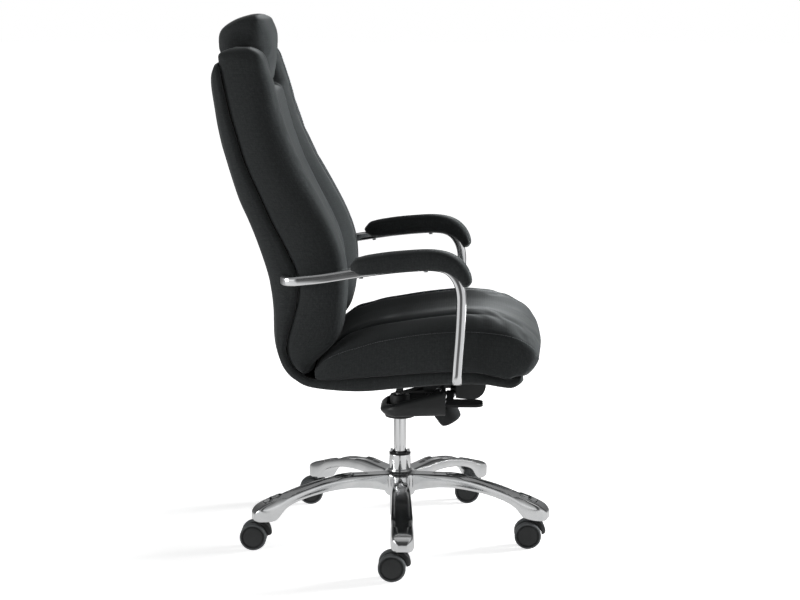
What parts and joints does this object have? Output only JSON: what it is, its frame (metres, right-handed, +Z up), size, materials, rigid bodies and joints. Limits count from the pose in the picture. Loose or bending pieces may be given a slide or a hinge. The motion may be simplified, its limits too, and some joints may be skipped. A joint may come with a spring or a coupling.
{
  "type": "executive office chair",
  "caption": "High-back upholstered office chair with knee tilt, padded bright arms, gas lift and a star base on twin-wheel casters.",
  "frame": {"origin": "on the floor, on the axis of the gas column", "axes": "+Z is up, the chair faces -Y, and the sitter's right hand is on the -X side"},
  "size_m": [0.6656, 0.7485, 1.1859],
  "materials": {
    "fabric": "fine charcoal weave",
    "chrome": "polished",
    "polished_aluminium": "polished",
    "steel": "zinc plated",
    "black_metal": "satin black",
    "black_plastic": "fine-grained black",
    "wheel_plastic": "dark grey, with a softer grey tread",
    "plywood": "raw birch ply, hidden inside the shell"
  },
  "bodies": {
    "base": {"star_base": "polished_aluminium", "outer_tube": "chrome", "guide_bushing": "black_plastic", "bushing_locks": "chrome", "tube_clip": "steel"},
    "rod": {"piston_rod": "steel", "thrust_bearing": "steel"},
    "mechanism": {"gas_cylinder": "chrome", "mechanism_pan": "black_metal", "pivot_bushes": "black_plastic", "lever_pins": "steel", "tilt_spring": "steel"},
    "button": {"valve_button": "steel"},
    "height_lever": {"height_lever": "black_plastic"},
    "lock_lever": {"lock_lever": "black_plastic"},
    "knob": {"tension_knob": "black_plastic"},
    "cup": {"spring_cup": "steel"},
    "seat": {"pivot_axle": "steel", "seat_bracket": "black_metal", "bracket_bolts": "steel", "bracket_nuts": "steel", "shell_board": "plywood", "shell_cover": "fabric", "back_cushion": "fabric", "headrest": "fabric", "seat_cushion": "fabric", "arm_bar_right": "chrome", "arm_bar_left": "chrome", "arm_pad_right": "fabric", "arm_pad_left": "fabric", "arm_studs": "steel", "pad_screws": "steel"},
    "caster_1": {"caster_stem_1": "steel", "caster_hood_1": "black_plastic", "caster_axle_1": "steel"},
    "wheel_right_1": {"wheel_right_1": "wheel_plastic"},
    "wheel_left_1": {"wheel_left_1": "wheel_plastic"},
    "caster_2": {"caster_stem_2": "steel", "caster_hood_2": "black_plastic", "caster_axle_2": "steel"},
    "wheel_right_2": {"wheel_right_2": "wheel_plastic"},
    "wheel_left_2": {"wheel_left_2": "wheel_plastic"},
    "caster_3": {"caster_stem_3": "steel", "caster_hood_3": "black_plastic", "caster_axle_3": "steel"},
    "wheel_right_3": {"wheel_right_3": "wheel_plastic"},
    "wheel_left_3": {"wheel_left_3": "wheel_plastic"},
    "caster_4": {"caster_stem_4": "steel", "caster_hood_4": "black_plastic", "caster_axle_4": "steel"},
    "wheel_right_4": {"wheel_right_4": "wheel_plastic"},
    "wheel_left_4": {"wheel_left_4": "wheel_plastic"},
    "caster_5": {"caster_stem_5": "steel", "caster_hood_5": "black_plastic", "caster_axle_5": "steel"},
    "wheel_right_5": {"wheel_right_5": "wheel_plastic"},
    "wheel_left_5": {"wheel_left_5": "wheel_plastic"}
  },
  "joints": [
    {"name": "caster_swivel_1", "type": "hinge", "parent": "base", "child": "caster_1", "pos_m": [-0.32408, -0.01642, 0.0615], "axis": [0, 0, 1], "continuous": true},
    {"name": "wheel_right_1_roll", "type": "hinge", "parent": "caster_1", "child": "wheel_right_1", "pos_m": [-0.32408, 0.00558, 0.03], "axis": [1, 0, 0], "continuous": true},
    {"name": "wheel_left_1_roll", "type": "hinge", "parent": "caster_1", "child": "wheel_left_1", "pos_m": [-0.32408, 0.00558, 0.03], "axis": [1, 0, 0], "continuous": true},
    {"name": "caster_swivel_2", "type": "hinge", "parent": "base", "child": "caster_2", "pos_m": [-0.11576, 0.30315, 0.0615], "axis": [0, 0, 1], "continuous": true},
    {"name": "wheel_right_2_roll", "type": "hinge", "parent": "caster_2", "child": "wheel_right_2", "pos_m": [-0.11576, 0.32515, 0.03], "axis": [1, 0, 0], "continuous": true},
    {"name": "wheel_left_2_roll", "type": "hinge", "parent": "caster_2", "child": "wheel_left_2", "pos_m": [-0.11576, 0.32515, 0.03], "axis": [1, 0, 0], "continuous": true},
    {"name": "caster_swivel_3", "type": "hinge", "parent": "base", "child": "caster_3", "pos_m": [0.25254, 0.20377, 0.0615], "axis": [0, 0, 1], "continuous": true},
    {"name": "wheel_right_3_roll", "type": "hinge", "parent": "caster_3", "child": "wheel_right_3", "pos_m": [0.25254, 0.22577, 0.03], "axis": [1, 0, 0], "continuous": true},
    {"name": "wheel_left_3_roll", "type": "hinge", "parent": "caster_3", "child": "wheel_left_3", "pos_m": [0.25254, 0.22577, 0.03], "axis": [1, 0, 0], "continuous": true},
    {"name": "caster_swivel_4", "type": "hinge", "parent": "base", "child": "caster_4", "pos_m": [0.27184, -0.17721, 0.0615], "axis": [0, 0, 1], "continuous": true},
    {"name": "wheel_right_4_roll", "type": "hinge", "parent": "caster_4", "child": "wheel_right_4", "pos_m": [0.27184, -0.15521, 0.03], "axis": [1, 0, 0], "continuous": true},
    {"name": "wheel_left_4_roll", "type": "hinge", "parent": "caster_4", "child": "wheel_left_4", "pos_m": [0.27184, -0.15521, 0.03], "axis": [1, 0, 0], "continuous": true},
    {"name": "caster_swivel_5", "type": "hinge", "parent": "base", "child": "caster_5", "pos_m": [-0.08453, -0.3133, 0.0615], "axis": [0, 0, 1], "continuous": true},
    {"name": "wheel_right_5_roll", "type": "hinge", "parent": "caster_5", "child": "wheel_right_5", "pos_m": [-0.08453, -0.2913, 0.03], "axis": [1, 0, 0], "continuous": true},
    {"name": "wheel_left_5_roll", "type": "hinge", "parent": "caster_5", "child": "wheel_left_5", "pos_m": [-0.08453, -0.2913, 0.03], "axis": [1, 0, 0], "continuous": true},
    {"name": "column_swivel", "type": "hinge", "parent": "base", "child": "rod", "pos_m": [0, 0, 0.055], "axis": [0, 0, 1], "continuous": true},
    {"name": "lift", "type": "slide", "parent": "rod", "child": "mechanism", "axis": [0, 0, 1], "range_m": [-0.06, 0.038]},
    {"name": "tilt", "type": "hinge", "parent": "mechanism", "child": "seat", "pos_m": [0, -0.162, 0.366], "axis": [-1, 0, 0], "range_deg": [0, 14], "stiffness_Nm_per_rad": 200, "springref_deg": -20.05, "deforming": ["tilt_spring"]},
    {"name": "height_lever_turn", "type": "hinge", "parent": "mechanism", "child": "height_lever", "pos_m": [-0.062, -0.1152, 0.3462], "axis": [0, 1, 0], "range_deg": [0, 4.5], "stiffness_Nm_per_rad": 2, "springref_deg": -5.73},
    {"name": "button_press", "type": "slide", "parent": "mechanism", "child": "button", "axis": [0, 0, -1], "range_m": [0, 0.0054]},
    {"name": "lock_lever_turn", "type": "hinge", "parent": "mechanism", "child": "lock_lever", "pos_m": [0.062, -0.1152, 0.3462], "axis": [0, 1, 0], "range_deg": [0, 11]},
    {"name": "tension_turn", "type": "hinge", "parent": "mechanism", "child": "knob", "pos_m": [0, -0.11625, 0.27225], "axis": [0, 0.5, 0.866], "range_deg": [0, 1080]},
    {"name": "cup_climb", "type": "slide", "parent": "mechanism", "child": "cup", "axis": [0, 0.5, 0.866], "range_m": [0, 0.0046]}
  ],
  "couplings": [
    {"joint": "button_press", "follows": "height_lever_turn", "m_per_rad": 0.0665},
    {"joint": "cup_climb", "follows": "tension_turn", "m_per_rad": 0.00023873}
  ]
}
